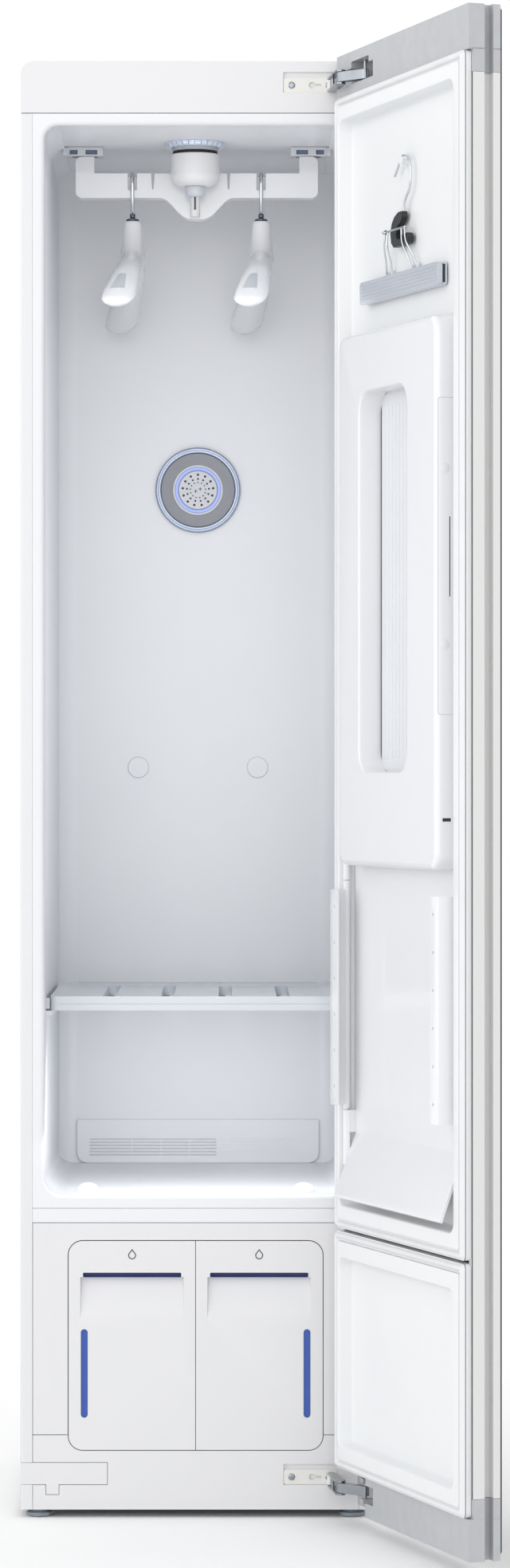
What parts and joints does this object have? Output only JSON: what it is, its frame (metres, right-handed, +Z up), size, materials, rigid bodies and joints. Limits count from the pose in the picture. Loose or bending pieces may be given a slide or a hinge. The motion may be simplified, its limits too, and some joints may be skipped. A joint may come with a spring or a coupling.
{
  "type": "clothes care steam cabinet",
  "caption": "Tall steel cabinet that steams hanging clothes: moulded chamber, shaking hanger bar, shelf, pull-out water tanks and a glass-fronted door with a trouser press inside",
  "frame": {"origin": "on the floor, in the middle of the footprint of the cabinet with its door open as stored", "axes": "+Z up, +X to the right and +Y to the back, seen from in front of the cabinet"},
  "size_m": [0.586, 0.9848, 1.85],
  "materials": {
    "white_steel": "smooth white paint on sheet steel",
    "grey_steel": "pale grey coated sheet steel",
    "bare_steel": "zinc-plated pressed steel",
    "black_steel": "black paint on drawn steel",
    "ivory_steel": "off-white coated steel plate",
    "plated_steel": "bright plated hinge steel",
    "polished_wire": "polished round wire",
    "fin_aluminium": "plain finned coil",
    "trim_aluminium": "pale satin trim",
    "white_moulding": "satin white moulding",
    "chamber_moulding": "cool white moulding of the chamber",
    "door_moulding": "white moulding of the door's inside",
    "cap_moulding": "blue-grey end caps",
    "bay_moulding": "light grey inner moulding",
    "grey_moulding": "blue-grey feet and fan wheel",
    "dark_plastic": "near-black moulding",
    "clamp_grey": "mid-grey clamp jaws",
    "silver_plastic": "silver-blue bezel",
    "light_ring": "translucent blue ring",
    "lamp_lens": "clear lens round the drive",
    "blue_clear": "clear blue tank moulding",
    "dark_glass": "black-backed tempered glass",
    "gasket_rubber": "pale soft seal"
  },
  "bodies": {
    "cabinet": {"side_panel_left": "white_steel", "side_panel_right": "white_steel", "back_panel": "grey_steel", "top_cover": "white_moulding", "base_plate": "bare_steel", "chamber_liner": "chamber_moulding", "lower_front_panel": "white_moulding", "kick_panel": "white_moulding", "hinge_hole_cover": "white_moulding", "tank_bay": "bay_moulding", "nozzle_bezel": "silver_plastic", "nozzle_plate": "dark_plastic", "nozzle_light_ring": "light_ring", "vent_cover": "chamber_moulding", "ceiling_lamp": "lamp_lens", "drive_housing": "chamber_moulding", "hanger_rail_left": "chamber_moulding", "hanger_rail_right": "chamber_moulding", "hinge_plate_top": "ivory_steel", "hinge_plate_bottom": "ivory_steel", "compressor": "black_steel", "steam_generator": "bay_moulding", "heat_exchanger": "fin_aluminium", "blower_housing": "bay_moulding"},
    "door": {"door_front_panel": "dark_glass", "door_cap_top": "cap_moulding", "door_cap_bottom": "cap_moulding", "door_side_hinge": "trim_aluminium", "door_side_grip": "trim_aluminium", "door_liner_upper": "door_moulding", "door_liner_lower": "door_moulding", "gasket_upper": "gasket_rubber", "gasket_lower": "gasket_rubber", "press_plate": "door_moulding", "press_pin": "polished_wire"},
    "hinge_arms": {"hinge_arm_top": "plated_steel", "hinge_arm_bottom": "plated_steel"},
    "hinge_links": {"hinge_link_top": "plated_steel", "hinge_link_bottom": "plated_steel"},
    "moving_hanger": {"moving_hanger": "white_moulding"},
    "hanger_left": {"hanger_hook_left": "polished_wire", "hanger_body_left": "white_moulding"},
    "hanger_right": {"hanger_hook_right": "polished_wire", "hanger_body_right": "white_moulding"},
    "shelf": {"shelf": "chamber_moulding"},
    "drain_tank": {"drain_tank_front": "white_moulding", "drain_tank_body": "blue_clear"},
    "water_tank": {"water_tank_front": "white_moulding", "water_tank_body": "blue_clear"},
    "press_cover": {"press_cover": "door_moulding"},
    "wing_left": {"wing_left": "door_moulding"},
    "trouser_hanger": {"trouser_hook": "polished_wire", "trouser_holder": "dark_plastic", "trouser_clamp_back": "clamp_grey"},
    "trouser_clamp_front": {"trouser_clamp_front": "clamp_grey"},
    "blower_impeller": {"blower_impeller": "grey_moulding"},
    "foot_front_left": {"foot_front_left": "grey_moulding"},
    "foot_front_right": {"foot_front_right": "grey_moulding"},
    "foot_back_left": {"foot_back_left": "grey_moulding"},
    "foot_back_right": {"foot_back_right": "grey_moulding"}
  },
  "joints": [
    {"name": "door_hinge", "type": "hinge", "parent": "cabinet", "child": "door", "pos_m": [0.13751, -0.07693, 0.935], "axis": [0, 0, 1], "range_deg": [-109, 0]},
    {"name": "hinge_arms_turn", "type": "hinge", "parent": "cabinet", "child": "hinge_arms", "pos_m": [0.10151, -0.04863, 0.935], "axis": [0, 0, 1], "range_deg": [-94.5, 0.1]},
    {"name": "hinge_links_turn", "type": "hinge", "parent": "door", "child": "hinge_links", "pos_m": [0.14227, -0.13928, 0.935], "axis": [0, 0, 1], "range_deg": [-0.1, 140.8]},
    {"name": "moving_hanger_slide", "type": "slide", "parent": "cabinet", "child": "moving_hanger", "axis": [1, 0, 0], "range_m": [-0.012, 0.012]},
    {"name": "hanger_left_swing", "type": "hinge", "parent": "moving_hanger", "child": "hanger_left", "pos_m": [-0.15549, 0.19737, 1.7233], "axis": [1, 0, 0], "range_deg": [-8, 8]},
    {"name": "hanger_right_swing", "type": "hinge", "parent": "moving_hanger", "child": "hanger_right", "pos_m": [0.01451, 0.19737, 1.7233], "axis": [1, 0, 0], "range_deg": [-8, 8]},
    {"name": "shelf_slide", "type": "slide", "parent": "cabinet", "child": "shelf", "axis": [0, -1, 0], "range_m": [0, 0.07]},
    {"name": "drain_tank_slide", "type": "slide", "parent": "cabinet", "child": "drain_tank", "axis": [0, -1, 0], "range_m": [0, 0.19]},
    {"name": "water_tank_slide", "type": "slide", "parent": "cabinet", "child": "water_tank", "axis": [0, -1, 0], "range_m": [0, 0.19]},
    {"name": "press_cover_hinge", "type": "hinge", "parent": "door", "child": "press_cover", "pos_m": [0.12023, -0.10139, 1.15], "axis": [0, 0, -1], "range_deg": [0, 95]},
    {"name": "wing_left_hinge", "type": "hinge", "parent": "door", "child": "wing_left", "pos_m": [0.12023, -0.10139, 0.66], "axis": [0, 0, -1], "range_deg": [0, 45]},
    {"name": "trouser_hanger_swing", "type": "hinge", "parent": "door", "child": "trouser_hanger", "pos_m": [0.19173, -0.29675, 1.7107], "axis": [0.9455, 0.3256, 0], "range_deg": [-4, 4]},
    {"name": "trouser_clamp_hinge", "type": "hinge", "parent": "trouser_hanger", "child": "trouser_clamp_front", "pos_m": [0.19078, -0.29444, 1.5567], "axis": [-0.3256, 0.9455, 0], "range_deg": [0, 20], "stiffness_Nm_per_rad": 0.5},
    {"name": "blower_spin", "type": "hinge", "parent": "cabinet", "child": "blower_impeller", "pos_m": [-0.14049, 0.32737, 0.2283], "axis": [1, 0, 0], "continuous": true},
    {"name": "foot_front_left_turn", "type": "hinge", "parent": "cabinet", "child": "foot_front_left", "pos_m": [-0.26949, -0.02463, 0.015], "axis": [0, 0, 1], "continuous": true},
    {"name": "foot_front_right_turn", "type": "hinge", "parent": "cabinet", "child": "foot_front_right", "pos_m": [0.12851, -0.02463, 0.015], "axis": [0, 0, 1], "continuous": true},
    {"name": "foot_back_left_turn", "type": "hinge", "parent": "cabinet", "child": "foot_back_left", "pos_m": [-0.26949, 0.43237, 0.015], "axis": [0, 0, 1], "continuous": true},
    {"name": "foot_back_right_turn", "type": "hinge", "parent": "cabinet", "child": "foot_back_right", "pos_m": [0.12851, 0.43237, 0.015], "axis": [0, 0, 1], "continuous": true}
  ],
  "couplings": [
    {"joint": "hinge_arms_turn", "follows": "door_hinge", "ratio": 0.8656},
    {"joint": "hinge_links_turn", "follows": "door_hinge", "ratio": -1.2908}
  ]
}
